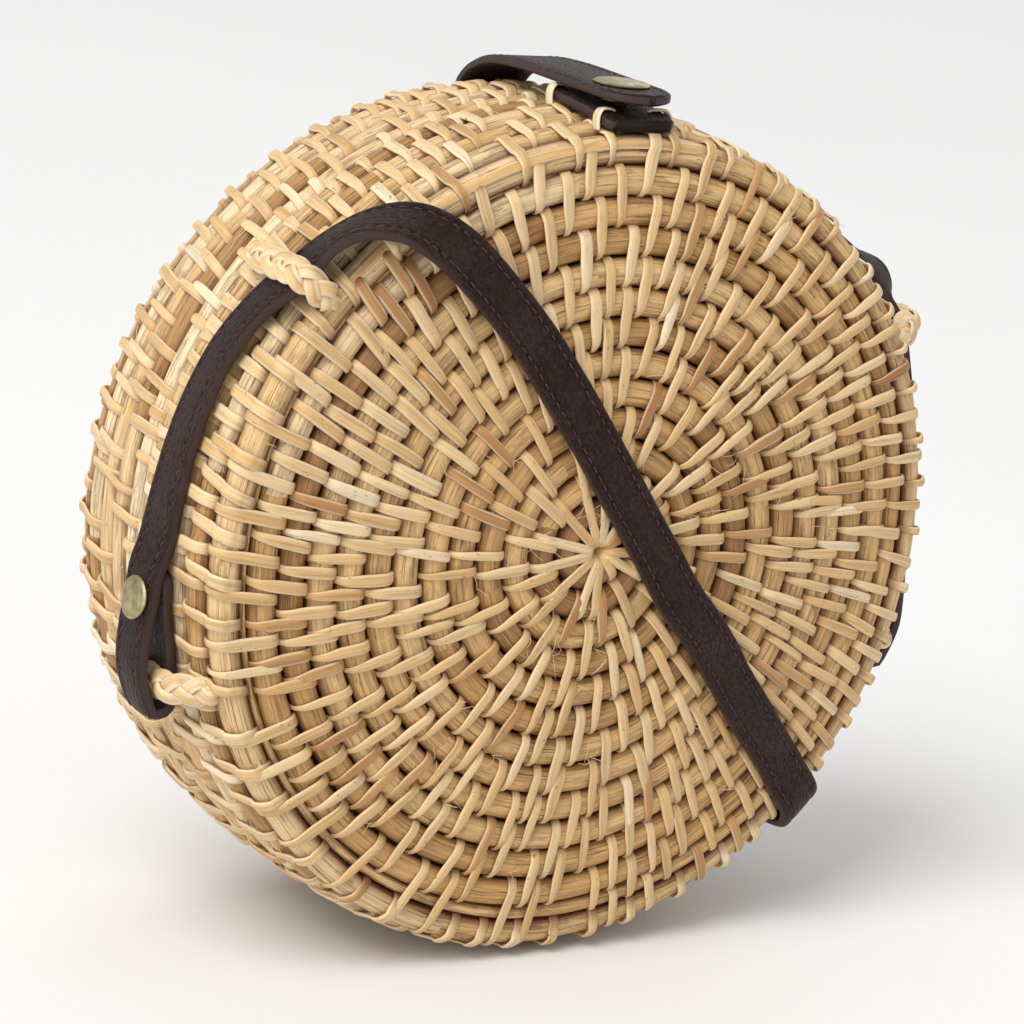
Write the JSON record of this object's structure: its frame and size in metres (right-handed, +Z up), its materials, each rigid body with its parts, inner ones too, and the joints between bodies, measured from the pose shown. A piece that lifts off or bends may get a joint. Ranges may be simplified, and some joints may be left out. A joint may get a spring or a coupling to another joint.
{
  "type": "round woven rattan bag",
  "caption": "Round clamshell bag of coiled rattan with a lined inside, a leather snap flap, braided side loops and a narrow leather strap wound round it.",
  "frame": {"origin": "on the surface the bag stands on, below the middle of its mouth plane and centred from side to side", "axes": "+Z up, -Y towards the front face, +X to the right of a person facing the front"},
  "size_m": [0.2156, 0.0845, 0.2068],
  "materials": {
    "rattan": "natural, matt",
    "cane": "split cane, satin",
    "leather": "fine grain, satin",
    "brass": "satin",
    "cloth": "plain woven cotton"
  },
  "bodies": {
    "body": {"front_face": "rattan", "front_wall": "rattan", "front_corner_strip": "cane", "front_mouth_coil": "cane", "front_lining": "cloth", "upper_left_loop": "cane", "lower_left_loop": "cane", "upper_right_loop": "cane", "lower_right_loop": "cane", "base_tab": "leather", "tab_ties": "cane", "snap_post": "brass", "snap_stud": "brass", "strap_front": "leather", "strap_right": "leather", "strap_rivet_caps": "brass", "strap_rivet_posts": "brass", "hinge_ties": "cane"},
    "lid": {"back_face": "rattan", "back_wall": "rattan", "back_corner_strip": "cane", "back_mouth_coil": "cane", "back_lining": "cloth", "flap_root": "leather", "flap_ties": "cane", "strap_back": "leather"},
    "flap": {"clasp_flap": "leather", "snap_socket": "brass", "snap_cap": "brass"}
  },
  "joints": [
    {"name": "lid_open", "type": "hinge", "parent": "body", "child": "lid", "pos_m": [0, 0, 0.0041], "axis": [-1, 0, 0], "range_deg": [0, 30], "deforming": ["hinge_ties"]},
    {"name": "flap_open", "type": "hinge", "parent": "lid", "child": "flap", "pos_m": [0, 0.03245, 0.1966], "axis": [-1, 0, 0], "range_deg": [0, 110]}
  ]
}
